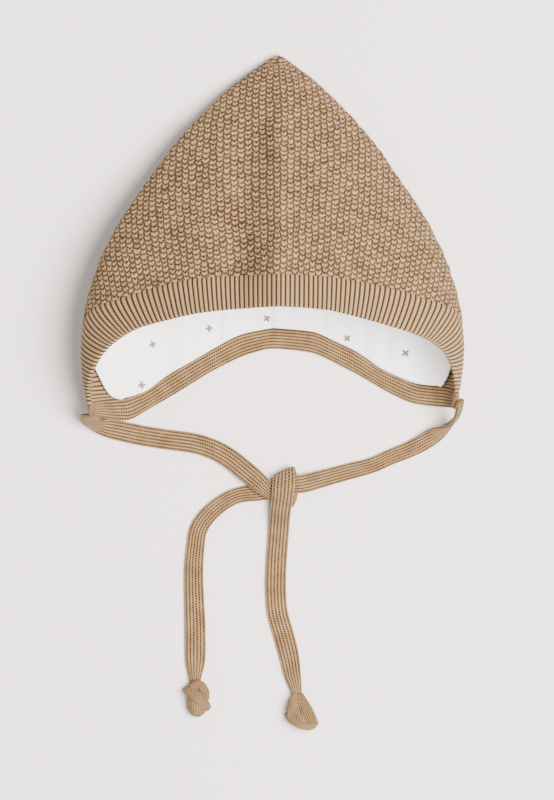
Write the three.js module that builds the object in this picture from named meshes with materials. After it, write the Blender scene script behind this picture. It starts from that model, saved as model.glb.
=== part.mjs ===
// Knitted baby bonnet with a pointed crown, ribbed brim, printed cotton lining
// and two tie strings, lying on its back with the strings crossed in a half knot.
//
// Millimetres. +Z is up from the surface that the bonnet lies on, +Y runs from
// the neck towards the peak, and X runs across the face opening.
import * as THREE from "three";

// Driving dimensions
const PEAK_Y = 85.5;
const RIDGE_SLOPE = 0.632;
const TIP_THICKNESS = 8.4;
const TIP_BLUNTNESS = 3;
const TIP_SIDE_SHIFT = 3;
const RIDGE_SIDE_SHIFT = 3.5;
const FLAT_SHARE = 0.72;
const ROOF_HOLLOW = 0.32;
const CROWN_WALL = 2.4;
const LINING_GAP = 0.4;
const LINING_WALL = 1;
const BRIM_THICKNESS = 2.8;
const BAND_THICKNESS = 3.4;
const TIE_THICKNESS = 2.4;
const JOIN_GAP = 0.35;
const BRIM_START = 0.03;
const BAND_START = 0.06;

// Silhouette of the crown: half width and height of its widest line, by the
// blunted distance back from the peak.
const PROFILE = [
  { distance: 0, half: 0, side: 4.2 },
  { distance: 15.7, half: 18.6, side: 8 },
  { distance: 30.9, half: 34.3, side: 13.5 },
  { distance: 45.9, half: 47.3, side: 19 },
  { distance: 60.9, half: 58, side: 24 },
  { distance: 83.9, half: 73.2, side: 30 },
  { distance: 107, half: 83.8, side: 33.5 },
  { distance: 129, half: 89.3, side: 34.5 },
  { distance: 144, half: 90.6, side: 32 },
  { distance: 158, half: 89.7, side: 27 },
  { distance: 171, half: 87.6, side: 21.5 },
  { distance: 185, half: 86, side: 17 },
];

// Edge of the crown: distance back from the peak, by the angle around the
// section in degrees from the ridge, negative on the left.
const CROWN_EDGE = [
  { around: -180, reach: 130.2 },
  { around: -168, reach: 133 },
  { around: -155, reach: 140.4 },
  { around: -136, reach: 152.4 },
  { around: -121, reach: 161.4 },
  { around: -113, reach: 163.5 },
  { around: -100, reach: 141 },
  { around: -90, reach: 128.5 },
  { around: -80, reach: 122.5 },
  { around: -69, reach: 119.6 },
  { around: -56, reach: 116.5 },
  { around: -42, reach: 111.5 },
  { around: -28, reach: 107.5 },
  { around: -14, reach: 106 },
  { around: 0, reach: 105.5 },
  { around: 14, reach: 106.4 },
  { around: 28, reach: 109 },
  { around: 42, reach: 112.8 },
  { around: 56, reach: 117 },
  { around: 69, reach: 120 },
  { around: 80, reach: 122.3 },
  { around: 90, reach: 126 },
  { around: 98, reach: 139 },
  { around: 106, reach: 157.8 },
  { around: 116, reach: 157 },
  { around: 126, reach: 153.1 },
  { around: 136, reach: 148.4 },
  { around: 146, reach: 141.2 },
  { around: 155, reach: 136.3 },
  { around: 164, reach: 131.9 },
  { around: 180, reach: 130.2 },
];
const LEFT_CORNER = -113;
const RIGHT_CORNER = 106;

// Front edge of the brim, by the angle of the crown edge behind it.
const BRIM_EDGE = [
  { behind: -113, around: -82, reach: 167 },
  { behind: -100, around: -76, reach: 158.5 },
  { behind: -90, around: -71, reach: 151.5 },
  { behind: -80, around: -65, reach: 144.5 },
  { behind: -69, around: -57, reach: 137.6 },
  { behind: -56, around: -47, reach: 131.3 },
  { behind: -42, around: -36, reach: 127.6 },
  { behind: -28, around: -25, reach: 124.2 },
  { behind: -14, around: -13, reach: 122.2 },
  { behind: 0, around: 0, reach: 121.2 },
  { behind: 14, around: 13, reach: 122.4 },
  { behind: 28, around: 25, reach: 126 },
  { behind: 42, around: 36, reach: 129.8 },
  { behind: 56, around: 47, reach: 133.6 },
  { behind: 69, around: 57, reach: 138.2 },
  { behind: 80, around: 65, reach: 143.2 },
  { behind: 90, around: 72, reach: 149.5 },
  { behind: 98, around: 78, reach: 155 },
  { behind: 106, around: 84, reach: 161 },
];

// Neck band, from the left front corner under the nape to the right front
// corner: its free side, by the angle of the side that is sewn on.
const NECK_BAND = [
  { around: 278, freeAround: 277, freeReach: 170.2 },
  { around: 263, freeAround: 262, freeReach: 170.8 },
  { around: 247, freeAround: 245.8, freeReach: 173.2 },
  { around: 239, freeAround: 237.2, freeReach: 169.6 },
  { around: 224, freeAround: 221, freeReach: 160.7 },
  { around: 205, freeAround: 202, freeReach: 148.8 },
  { around: 192, freeAround: 189, freeReach: 142.1 },
  { around: 180, freeAround: 180, freeReach: 139.8 },
  { around: 164, freeAround: 166, freeReach: 141.3 },
  { around: 146, freeAround: 148.6, freeReach: 149.8 },
  { around: 126, freeAround: 127, freeReach: 162 },
  { around: 116, freeAround: 115.6, freeReach: 166.3 },
  { around: 106, freeAround: 104, freeReach: 167.5 },
  { around: 95, freeAround: 94, freeReach: 168 },
  { around: 84, freeAround: 85, freeReach: 168.5 },
];

// Tie strings: centre line, half width and lean of the flat face about it.
const LEFT_TIE = [
  { x: -86.3, y: -88.9, z: 13, half: 4.2, lean: 16 },
  { x: -83.6, y: -90.4, z: 7.2, half: 4.5, lean: 12 },
  { x: -78, y: -92.2, z: 3.8, half: 4.7, lean: 8 },
  { x: -69.6, y: -94.2, z: 2, half: 4.9, lean: 4 },
  { x: -60.6, y: -96.1, z: 1.4, half: 4.9, lean: 0 },
  { x: -49.7, y: -97.8, z: 1.4, half: 4.9, lean: 0 },
  { x: -37, y: -99.6, z: 1.4, half: 4.9, lean: 0 },
  { x: -28, y: -102.4, z: 1.6, half: 4.9, lean: 0 },
  { x: -20, y: -106.9, z: 2.4, half: 4.9, lean: 0 },
  { x: -11.8, y: -113.4, z: 4.6, half: 4.9, lean: 0 },
  { x: -5.6, y: -118.5, z: 6.3, half: 4.5, lean: 8 },
  { x: 0, y: -123.6, z: 6.6, half: 3.2, lean: 20 },
  { x: 4.4, y: -127.6, z: 4.9, half: 2.6, lean: 35 },
  { x: 8.2, y: -128.4, z: 2.9, half: 2.4, lean: 20 },
  { x: 9.4, y: -125, z: 1.5, half: 2.6, lean: 0 },
  { x: 8.5, y: -118.5, z: 1.4, half: 3.8, lean: 0 },
  { x: 7.4, y: -114.8, z: 2.2, half: 4.6, lean: 0 },
  { x: 6.4, y: -112.9, z: 5.5, half: 5, lean: 0 },
  { x: 6.1, y: -114.6, z: 8.9, half: 5.4, lean: 0 },
  { x: 5.6, y: -118, z: 9.9, half: 5.4, lean: 0 },
  { x: 4.9, y: -125, z: 9.3, half: 5.2, lean: 0 },
  { x: 3.9, y: -133, z: 5.4, half: 5, lean: 0 },
  { x: 3.2, y: -142.4, z: 1.8, half: 5, lean: 0 },
  { x: 2.1, y: -157.5, z: 1.4, half: 5, lean: 0 },
  { x: 1.9, y: -170.8, z: 1.4, half: 5, lean: 0 },
  { x: 2.8, y: -180.7, z: 1.4, half: 5, lean: 0 },
  { x: 5.7, y: -191, z: 1.4, half: 5, lean: 0 },
  { x: 8.1, y: -200.5, z: 1.4, half: 4.8, lean: 0 },
  { x: 10, y: -210.5, z: 1.6, half: 4, lean: 0 },
  { x: 12, y: -219, z: 2.2, half: 2.4, lean: 0 },
];
const RIGHT_TIE = [
  { x: 87.3, y: -87.4, z: 19, half: 3.9, lean: -68 },
  { x: 85.4, y: -89.3, z: 12.5, half: 4.1, lean: -58 },
  { x: 82, y: -92.3, z: 7, half: 4.2, lean: -42 },
  { x: 76.5, y: -96.4, z: 3.6, half: 4.2, lean: -22 },
  { x: 67.5, y: -101.6, z: 1.7, half: 4, lean: -5 },
  { x: 56.6, y: -106.1, z: 1.4, half: 3.8, lean: 0 },
  { x: 47.4, y: -110.1, z: 1.4, half: 3.8, lean: 0 },
  { x: 36.5, y: -113, z: 1.4, half: 4, lean: 0 },
  { x: 23.7, y: -116.5, z: 2.6, half: 4.2, lean: 0 },
  { x: 15.6, y: -118.6, z: 4.2, half: 4.4, lean: 0 },
  { x: 8, y: -119.6, z: 5.5, half: 4.2, lean: 0 },
  { x: 1, y: -121.6, z: 3.4, half: 4, lean: 0 },
  { x: -6.6, y: -123.2, z: 1.4, half: 3.9, lean: 0 },
  { x: -12.3, y: -123.6, z: 1.4, half: 3.9, lean: 0 },
  { x: -17.8, y: -124.9, z: 1.4, half: 3.9, lean: 0 },
  { x: -25, y: -129, z: 1.4, half: 4, lean: 0 },
  { x: -30.8, y: -134.3, z: 1.4, half: 4.2, lean: 0 },
  { x: -34.8, y: -140.4, z: 1.4, half: 4.3, lean: 0 },
  { x: -36.5, y: -150.1, z: 1.4, half: 4.4, lean: 0 },
  { x: -37.2, y: -160.8, z: 1.4, half: 4.6, lean: 0 },
  { x: -36.9, y: -175.4, z: 1.4, half: 4.8, lean: 0 },
  { x: -36.5, y: -188.3, z: 1.4, half: 5, lean: 0 },
  { x: -36.5, y: -204, z: 1.4, half: 4.7, lean: 0 },
  { x: -36.6, y: -212.8, z: 2.2, half: 2.6, lean: 0 },
];

// End knots: radii and centres of their sections along each string's end.
const LEFT_TIE_KNOT = [
  { x: 12.3, y: -219.9, z: 2.9, wide: 2.2, tall: 1.9 },
  { x: 12.8, y: -222, z: 4.2, wide: 4.2, tall: 3.8 },
  { x: 13.6, y: -225.5, z: 4.7, wide: 5.2, tall: 4.6 },
  { x: 14.6, y: -229.5, z: 4.5, wide: 5.8, tall: 4.4 },
  { x: 15.8, y: -233, z: 3.8, wide: 5.6, tall: 3.7 },
  { x: 16.8, y: -235.2, z: 3.1, wide: 3.4, tall: 2.6 },
];
const RIGHT_TIE_KNOT = [
  { x: -36.6, y: -213.7, z: 2.9, wide: 2.3, tall: 1.9 },
  { x: -36.3, y: -216, z: 4.2, wide: 4, tall: 3.6 },
  { x: -35.8, y: -219.5, z: 4.9, wide: 4.9, tall: 4.8 },
  { x: -35.5, y: -223.5, z: 4.8, wide: 5, tall: 4.7 },
  { x: -35.9, y: -227, z: 4.2, wide: 4.1, tall: 3.9 },
  { x: -36.4, y: -229, z: 3.6, wide: 2.4, tall: 2.2 },
];

// Mesh resolution
const NECK_STEPS = 11;
const FRONT_STEPS = 18;
const CORNER_STEPS = 4;
const CROWN_ROWS = 12;
const TIE_STEPS = 78;

const knit = (color) => new THREE.MeshStandardMaterial({ color, roughness: 0.95, metalness: 0 });
const sandKnit = knit(0xb99670);
const brimKnit = knit(0xb39069);
const bandKnit = knit(0xae8c66);
const tieKnit = knit(0xb59370);
const printedCotton = knit(0xeeebe8);

// Value of one column of a table at a place between its rows, as a smooth
// curve that doesn't overshoot.
function readTable(rows, key, column, at) {
  const ascending = rows[rows.length - 1][key] > rows[0][key];
  const list = ascending ? rows : [...rows].reverse();
  const place = Math.min(Math.max(at, list[0][key]), list[list.length - 1][key]);
  let i = 0;
  while (i < list.length - 2 && place > list[i + 1][key]) i += 1;
  const slopeOf = (k) => {
    const rise = list[k + 1][column] - list[k][column];
    return rise / (list[k + 1][key] - list[k][key]);
  };
  const tangentAt = (k) => {
    if (k === 0) return slopeOf(0);
    if (k === list.length - 1) return slopeOf(k - 1);
    const before = slopeOf(k - 1);
    const after = slopeOf(k);
    return before * after <= 0 ? 0 : (2 * before * after) / (before + after);
  };
  const width = list[i + 1][key] - list[i][key];
  const t = (place - list[i][key]) / width;
  const start = list[i][column] * (1 + 2 * t) * (1 - t) ** 2;
  const end = list[i + 1][column] * t * t * (3 - 2 * t);
  const leave = tangentAt(i) * width * t * (1 - t) ** 2;
  const arrive = tangentAt(i + 1) * width * t * t * (t - 1);
  return start + end + leave + arrive;
}

const bluntDistance = (reach) => Math.sqrt(reach * reach + 2 * TIP_BLUNTNESS * reach);

// Section of the bonnet at a distance back from the peak, for a surface that
// lies inset inside the outer face.
function sectionAt(reach, inset) {
  const back = Math.max(reach - 1.3 * inset, 0);
  const distance = bluntDistance(back);
  const half = readTable(PROFILE, "distance", "half", distance);
  const ahead = readTable(PROFILE, "distance", "half", distance + 1);
  const spread = Math.max(ahead - half, 0);
  const narrowing = inset * (Math.sqrt(1 + spread * spread) - 1.3 * spread);
  const settle = 1 - Math.exp(-distance / 6);
  const tip = TIP_THICKNESS / 2;
  const bottom = tip * Math.exp(-distance / 5) + inset * settle;
  const top = tip * (1 + settle) + RIDGE_SLOPE * back - 0.36 * inset * settle;
  const side = readTable(PROFILE, "distance", "side", bluntDistance(reach));
  return {
    half: Math.max(half - narrowing * settle, 0),
    bottom,
    top,
    side: Math.min(Math.max(side, bottom), bottom + 0.6 * (top - bottom)),
  };
}

// Point of the bonnet's surface at an angle around its section, with the
// ridge at 0, the side lines at 90 and the middle of the back at 180.
function surfacePoint(around, reach, inset) {
  const turned = around > 180 ? around - 360 : around;
  const hand = Math.sign(turned) || 1;
  const angle = Math.abs(turned);
  const section = sectionAt(reach, inset);
  let x;
  let z;
  if (angle <= 90) {
    const s = Math.sin(THREE.MathUtils.degToRad(angle));
    const c = Math.cos(THREE.MathUtils.degToRad(angle));
    x = section.half * s;
    z = section.side + (section.top - section.side) * (c - ROOF_HOLLOW * s * c);
  } else {
    const flat = FLAT_SHARE * section.half;
    const bendX = section.half - flat;
    const bendZ = section.side - section.bottom;
    const bend = (Math.PI / 2) * Math.sqrt((bendX * bendX + bendZ * bendZ) / 2);
    const along = ((180 - angle) / 90) * (flat + bend);
    const turn = bend > 0 ? (Math.max(along - flat, 0) / bend) * (Math.PI / 2) : 0;
    x = along < flat ? along : flat + bendX * Math.sin(turn);
    z = section.bottom + bendZ * (1 - Math.cos(turn));
  }
  const upper = angle < 90 ? Math.cos(THREE.MathUtils.degToRad(angle)) ** 3 : 0;
  const ridgeShift = RIDGE_SIDE_SHIFT * (1 - Math.exp(-reach / 30)) * upper;
  const tipShift = TIP_SIDE_SHIFT * Math.exp(-reach / 60) * (1 - upper);
  const tipRidge = TIP_SIDE_SHIFT * Math.exp(-reach / 60) * upper;
  return new THREE.Vector3(hand * x + ridgeShift + tipShift + tipRidge, PEAK_Y - reach, z);
}

function solidFromGrid(points, triangles) {
  const positions = points.flatMap((p) => [p.x, p.y, p.z]);
  const geometry = new THREE.BufferGeometry();
  geometry.setAttribute("position", new THREE.Float32BufferAttribute(positions, 3));
  geometry.setIndex(triangles);
  geometry.computeVertexNormals();
  return geometry;
}

// Angles in even steps over a row of spans, given as from, to and steps, with
// the last end left out.
function anglesOver(spans) {
  return spans.flatMap(([from, to, steps]) =>
    Array.from({ length: steps }, (_, i) => from + ((to - from) * i) / steps),
  );
}

// Columns with one on each corner and one on the ridge or the nape, so that
// pieces that meet along an edge have the same corners on it.
const FRONT_SPANS = [[LEFT_CORNER, 0, FRONT_STEPS], [0, RIGHT_CORNER, FRONT_STEPS]];
const CROWN_COLUMNS = anglesOver([
  [-180, LEFT_CORNER, NECK_STEPS],
  ...FRONT_SPANS,
  [RIGHT_CORNER, 180, NECK_STEPS],
]);
const BRIM_COLUMNS = [...anglesOver(FRONT_SPANS), RIGHT_CORNER];
const BAND_ENDS = [NECK_BAND[NECK_BAND.length - 1].around, NECK_BAND[0].around];
const BAND_COLUMNS = [
  ...anglesOver([
    [BAND_ENDS[0], RIGHT_CORNER, CORNER_STEPS],
    [RIGHT_CORNER, 180, NECK_STEPS],
    [180, LEFT_CORNER + 360, NECK_STEPS],
    [LEFT_CORNER + 360, BAND_ENDS[1], CORNER_STEPS],
  ]),
  BAND_ENDS[1],
];

// Cup with a closed point and an open edge, between an outer and an inner
// surface that are both insets of the bonnet's form.
function cupGeometry(outerInset, innerInset, edgeGap) {
  const columns = CROWN_COLUMNS;
  const count = columns.length;
  const points = [];
  const triangles = [];
  const layers = [outerInset, innerInset];
  layers.forEach((inset) => {
    const start = 1.3 * inset;
    points.push(surfacePoint(0, start, inset).lerp(surfacePoint(180, start, inset), 0.5));
    for (let row = 1; row <= CROWN_ROWS; row += 1) {
      const share = (row / CROWN_ROWS) ** 1.25;
      columns.forEach((around) => {
        const edge = readTable(CROWN_EDGE, "around", "reach", around) - edgeGap;
        points.push(surfacePoint(around, start + (edge - start) * share, inset));
      });
    }
  });
  const layerSize = 1 + CROWN_ROWS * count;
  const at = (layer, row, column) => layer * layerSize + 1 + (row - 1) * count + (column % count);
  const quad = (a, b, c, d, flip) => {
    triangles.push(...(flip ? [a, c, b, a, d, c] : [a, b, c, a, c, d]));
  };
  for (let column = 0; column < count; column += 1) {
    [0, 1].forEach((layer) => {
      const pole = layer * layerSize;
      const ring = [at(layer, 1, column), at(layer, 1, column + 1)];
      triangles.push(pole, ...(layer === 0 ? ring : ring.reverse()));
      for (let row = 1; row < CROWN_ROWS; row += 1) {
        const near = [at(layer, row, column), at(layer, row + 1, column)];
        const far = [at(layer, row + 1, column + 1), at(layer, row, column + 1)];
        quad(...near, ...far, layer === 1);
      }
    });
    const outer = [at(0, CROWN_ROWS, column), at(0, CROWN_ROWS, column + 1)];
    const inner = [at(1, CROWN_ROWS, column + 1), at(1, CROWN_ROWS, column)];
    quad(outer[0], inner[1], inner[0], outer[1], false);
  }
  return solidFromGrid(points, triangles);
}

// Solid through a row of rings that have the same number of points.
function loftGeometry(rings) {
  const sides = rings[0].length;
  const points = rings.flat();
  const triangles = [];
  for (let ring = 0; ring < rings.length - 1; ring += 1) {
    for (let side = 0; side < sides; side += 1) {
      const next = (side + 1) % sides;
      const a = ring * sides + side;
      const b = ring * sides + next;
      triangles.push(a, b, b + sides, a, b + sides, a + sides);
    }
  }
  [0, rings.length - 1].forEach((ring) => {
    const centre = new THREE.Vector3();
    rings[ring].forEach((p) => centre.addScaledVector(p, 1 / sides));
    const pole = points.push(centre) - 1;
    for (let side = 0; side < sides; side += 1) {
      const a = ring * sides + side;
      const b = ring * sides + ((side + 1) % sides);
      triangles.push(...(ring === 0 ? [pole, b, a] : [pole, a, b]));
    }
  });
  return solidFromGrid(points, triangles);
}

// Ring across a strip with a rounded free edge, from share 0 to 1 of its
// width and from one face at depth 0 to the other at depth 1.
const STRIP_SECTION = [
  { across: 0, depth: 0 },
  { across: 0.45, depth: 0 },
  { across: 0.9, depth: 0 },
  { across: 1, depth: 0.28 },
  { across: 1, depth: 0.72 },
  { across: 0.9, depth: 1 },
  { across: 0.45, depth: 1 },
  { across: 0, depth: 1 },
];

function brimGeometry() {
  const rings = BRIM_COLUMNS.map((behind) => {
    const back = readTable(CROWN_EDGE, "around", "reach", behind);
    const front = readTable(BRIM_EDGE, "behind", "reach", behind);
    const around = readTable(BRIM_EDGE, "behind", "around", behind);
    return STRIP_SECTION.map(({ across, depth }) => {
      const share = BRIM_START + (1 - BRIM_START) * across;
      const angle = behind + (around - behind) * share;
      return surfacePoint(angle, back + (front - back) * share, depth * BRIM_THICKNESS);
    });
  });
  return loftGeometry(rings);
}

// Distance back of the neck band's sewn side: along the crown's edge, then
// along the short ends of the brim.
function sewnReach(around) {
  const crownEdge = (angle) => readTable(CROWN_EDGE, "around", "reach", angle);
  const front = BRIM_EDGE[BRIM_EDGE.length - 1];
  if (around < RIGHT_CORNER) {
    const share = (RIGHT_CORNER - around) / (RIGHT_CORNER - front.around);
    return THREE.MathUtils.lerp(crownEdge(RIGHT_CORNER), front.reach, share);
  }
  if (around > LEFT_CORNER + 360) {
    const share = (around - LEFT_CORNER - 360) / (BRIM_EDGE[0].around - LEFT_CORNER);
    return THREE.MathUtils.lerp(crownEdge(LEFT_CORNER), BRIM_EDGE[0].reach, share);
  }
  return crownEdge(around > 180 ? around - 360 : around);
}

function neckBandGeometry() {
  const rings = BAND_COLUMNS.map((around) => {
    const near = sewnReach(around);
    const freeAround = readTable(NECK_BAND, "around", "freeAround", around);
    const free = readTable(NECK_BAND, "around", "freeReach", around);
    return STRIP_SECTION.map(({ across, depth }) => {
      const share = BAND_START + (1 - BAND_START) * across;
      const angle = around + (freeAround - around) * share;
      return surfacePoint(angle, near + (free - near) * share, depth * BAND_THICKNESS);
    });
  });
  return loftGeometry(rings);
}

// Flat tube with rounded edges: 10 sides, in shares of half width and half
// thickness.
const TIE_SECTION = [
  { across: 1, up: 0 },
  { across: 0.9, up: 0.75 },
  { across: 0.5, up: 1 },
  { across: -0.5, up: 1 },
  { across: -0.9, up: 0.75 },
  { across: -1, up: 0 },
  { across: -0.9, up: -0.75 },
  { across: -0.5, up: -1 },
  { across: 0.5, up: -1 },
  { across: 0.9, up: -0.75 },
];

// Width direction of a strap at each step: level on a level run, and carried
// along through a turn over an edge.
function tieFrames(curve) {
  let width = null;
  return Array.from({ length: TIE_STEPS + 1 }, (_, i) => {
    const along = curve.getTangentAt(i / TIE_STEPS);
    const level = new THREE.Vector3(0, 0, 1).cross(along);
    const steepness = level.length();
    if (width === null) width = level.clone();
    if (level.dot(width) < 0) level.negate();
    width.addScaledVector(level.normalize(), 0.9 * steepness ** 3);
    width.addScaledVector(along, -width.dot(along)).normalize();
    return { along, width: width.clone() };
  });
}

function tieGeometry(stations) {
  const centres = stations.map((s) => new THREE.Vector3(s.x, s.y, s.z));
  const curve = new THREE.CatmullRomCurve3(centres, false, "centripetal");
  const frames = tieFrames(curve);
  const rings = frames.map(({ along, width }, i) => {
    const place = curve.getUtoTmapping(i / TIE_STEPS) * (stations.length - 1);
    const index = Math.min(Math.floor(place), stations.length - 2);
    const mix = (column) => THREE.MathUtils.lerp(
      stations[index][column], stations[index + 1][column], place - index);
    const centre = curve.getPointAt(i / TIE_STEPS);
    const lean = THREE.MathUtils.degToRad(mix("lean"));
    const side = width.clone().applyAxisAngle(along, lean);
    const face = along.clone().cross(side);
    return TIE_SECTION.map(({ across, up }) => centre.clone()
      .addScaledVector(side, across * mix("half"))
      .addScaledVector(face, (up * TIE_THICKNESS) / 2));
  });
  return loftGeometry(rings);
}

function endKnotGeometry(stations) {
  const sides = 14;
  const rings = stations.map((s, i) => {
    const before = stations[Math.max(i - 1, 0)];
    const after = stations[Math.min(i + 1, stations.length - 1)];
    const along = new THREE.Vector3(after.x - before.x, after.y - before.y, 0).normalize();
    const side = new THREE.Vector3(0, 0, 1).cross(along);
    return Array.from({ length: sides }, (_, k) => {
      const turn = (2 * Math.PI * k) / sides;
      return new THREE.Vector3(s.x, s.y, s.z)
        .addScaledVector(side, s.wide * Math.cos(turn))
        .addScaledVector(new THREE.Vector3(0, 0, 1), s.tall * Math.sin(turn));
    });
  });
  return loftGeometry(rings);
}

function pieceOf(name, geometry, material) {
  const mesh = new THREE.Mesh(geometry, material);
  mesh.name = name;
  return mesh;
}

const liningOuter = CROWN_WALL + LINING_GAP;
const bonnet = new THREE.Group();
bonnet.add(pieceOf("crown", cupGeometry(0, CROWN_WALL, 0), sandKnit));
bonnet.add(pieceOf(
  "lining", cupGeometry(liningOuter, liningOuter + LINING_WALL, JOIN_GAP), printedCotton));
bonnet.add(pieceOf("brim", brimGeometry(), brimKnit));
bonnet.add(pieceOf("neck_band", neckBandGeometry(), bandKnit));
bonnet.add(pieceOf("tie_left", tieGeometry(LEFT_TIE), tieKnit));
bonnet.add(pieceOf("tie_right", tieGeometry(RIGHT_TIE), tieKnit));
bonnet.add(pieceOf("end_knot_left", endKnotGeometry(LEFT_TIE_KNOT), tieKnit));
bonnet.add(pieceOf("end_knot_right", endKnotGeometry(RIGHT_TIE_KNOT), tieKnit));

export default bonnet;
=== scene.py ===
# A knitted baby bonnet lying on its back: moss-stitch crown, ribbed brim,
# printed lining, neck band and two flat tie strings crossed in a half knot.
# Lengths in the tables and functions are millimetres, and turn to metres as a
# mesh is made.
import math

import bmesh
import bpy
import numpy as np
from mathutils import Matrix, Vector


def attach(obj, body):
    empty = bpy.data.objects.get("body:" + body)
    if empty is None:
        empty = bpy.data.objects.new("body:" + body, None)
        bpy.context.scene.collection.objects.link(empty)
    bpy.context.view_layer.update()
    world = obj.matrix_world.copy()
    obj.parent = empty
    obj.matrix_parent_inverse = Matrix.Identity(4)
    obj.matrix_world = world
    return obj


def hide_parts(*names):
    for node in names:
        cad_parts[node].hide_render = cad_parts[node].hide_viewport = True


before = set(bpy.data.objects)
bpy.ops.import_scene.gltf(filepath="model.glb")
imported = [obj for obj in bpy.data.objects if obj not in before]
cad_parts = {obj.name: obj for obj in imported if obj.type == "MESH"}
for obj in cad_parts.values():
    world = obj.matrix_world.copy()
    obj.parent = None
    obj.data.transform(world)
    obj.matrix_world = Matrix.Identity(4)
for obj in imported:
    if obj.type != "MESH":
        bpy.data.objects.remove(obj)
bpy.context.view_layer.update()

MM = 0.001

# ---------------------------------------------------------------- camera

# Length of ground that the view takes in from top to bottom, the height at
# which that length is true, the height of the eye, and the place that it
# looks straight down on.
FRAME_HEIGHT = 379.0
TRUE_HEIGHT = 20.0
EYE_HEIGHT = 3000.0
AIM = (2.4, -78.9)
SENSOR = 24.0


def place_camera():
    data = bpy.data.cameras.new("overhead")
    data.sensor_fit = "VERTICAL"
    data.sensor_height = SENSOR
    data.lens = SENSOR * (EYE_HEIGHT - TRUE_HEIGHT) / FRAME_HEIGHT
    data.clip_end = 20.0
    eye = bpy.data.objects.new("overhead", data)
    eye.location = (AIM[0] * MM, AIM[1] * MM, EYE_HEIGHT * MM)
    bpy.context.collection.objects.link(eye)
    bpy.context.scene.camera = eye


place_camera()

# ---------------------------------------------------------------- tables


def curve_through(places, values, at):
    """Smooth curve through a table's rows that doesn't overshoot."""
    x = np.asarray(places, float)
    y = np.asarray(values, float)
    if x[0] > x[-1]:
        x, y = x[::-1], y[::-1]
    slope = np.diff(y) / np.diff(x)
    tangent = np.zeros_like(y)
    tangent[0], tangent[-1] = slope[0], slope[-1]
    product = slope[:-1] * slope[1:]
    total = slope[:-1] + slope[1:]
    safe = np.where(product > 0, total, 1.0)
    tangent[1:-1] = np.where(product > 0, 2 * product / safe, 0.0)
    at = np.clip(np.asarray(at, float), x[0], x[-1])
    i = np.clip(np.searchsorted(x, at, side="right") - 1, 0, len(x) - 2)
    width = x[i + 1] - x[i]
    t = (at - x[i]) / width
    start = y[i] * (1 + 2 * t) * (1 - t) ** 2
    end = y[i + 1] * t * t * (3 - 2 * t)
    leave = tangent[i] * width * t * (1 - t) ** 2
    arrive = tangent[i + 1] * width * t * t * (t - 1)
    return start + end + leave + arrive


def smooth(low, high, value):
    t = np.clip((np.asarray(value, float) - low) / (high - low), 0, 1)
    return t * t * (3 - 2 * t)


# Outline of the crown, by the blunted distance back from the peak: half
# width, and height of the widest line.
PROFILE_DISTANCE = [0, 15.7, 30.9, 45.9, 60.9, 83.9, 107, 129, 144, 158, 171, 185]
PROFILE_HALF = [0, 18.6, 34.3, 47.3, 58, 73.2, 83.8, 89.3, 90.6, 89.7, 87.6, 86]
PROFILE_SIDE = [4.2, 8, 13.5, 19, 24, 30, 33.5, 34.5, 32, 27, 21.5, 17]

# Edge of the crown: angle round the section from the ridge, and distance
# back from the peak.
EDGE_AROUND = [-180, -168, -155, -136, -121, -113, -100, -90, -80, -69, -56, -42, -28, -14, 0,
               14, 28, 42, 56, 69, 80, 90, 98, 106, 116, 126, 136, 146, 155, 164, 180]
EDGE_REACH = [130.2, 133, 140.4, 152.4, 161.4, 163.5, 141, 128.5, 122.5, 119.6, 116.5, 111.5,
              107.5, 106, 105.5, 106.4, 109, 112.8, 117, 120, 122.3, 126, 139, 157.8, 157,
              153.1, 148.4, 141.2, 136.3, 131.9, 130.2]
CORNER = {-1: 113.0, 1: 106.0}

# Front edge of the brim, by the angle of the crown's edge behind it.
BRIM_BEHIND = [-113, -100, -90, -80, -69, -56, -42, -28, -14, 0,
               14, 28, 42, 56, 69, 80, 90, 98, 106]
BRIM_AROUND = [-82, -76, -71, -65, -57, -47, -36, -25, -13, 0,
               13, 25, 36, 47, 57, 65, 72, 78, 84]
BRIM_REACH = [167, 158.5, 151.5, 144.5, 137.6, 131.3, 127.6, 124.2, 122.2, 121.2,
              122.4, 126, 129.8, 133.6, 138.2, 143.2, 149.5, 155, 161]

# Free side of the neck band, by the angle of the side that is sewn on.
BAND_AROUND = [278, 263, 247, 239, 224, 205, 192, 180, 164, 146, 126, 116, 106, 95, 84]
BAND_FREE_AROUND = [277, 262, 245.8, 237.2, 221, 202, 189, 180, 166, 148.6, 127, 115.6, 104, 94,
                    85]
BAND_FREE_REACH = [171.8, 172.2, 173.8, 169.6, 160.7, 148.8, 142.1, 139.8, 141.3, 149.8, 162,
                   166.3, 167.5, 168, 168.5]

# The peak's place, the ridge's rise for each millimetre back from it, the
# height of the tip, the flat share of the back, and how far the sides sink
# in between the ridge and the widest line.
PEAK_Y = 85.5
RIDGE_SLOPE = 0.632
TIP = 4.2
FLAT_SHARE = 0.72
ROOF_HOLLOW = 0.32

# Gap between the cloth and the table.
TABLE_GAP = 0.05


def blunt(reach):
    """Distance back from the peak that makes the point round."""
    reach = np.maximum(reach, 0)
    return np.sqrt(reach * reach + 6.0 * reach)


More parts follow.
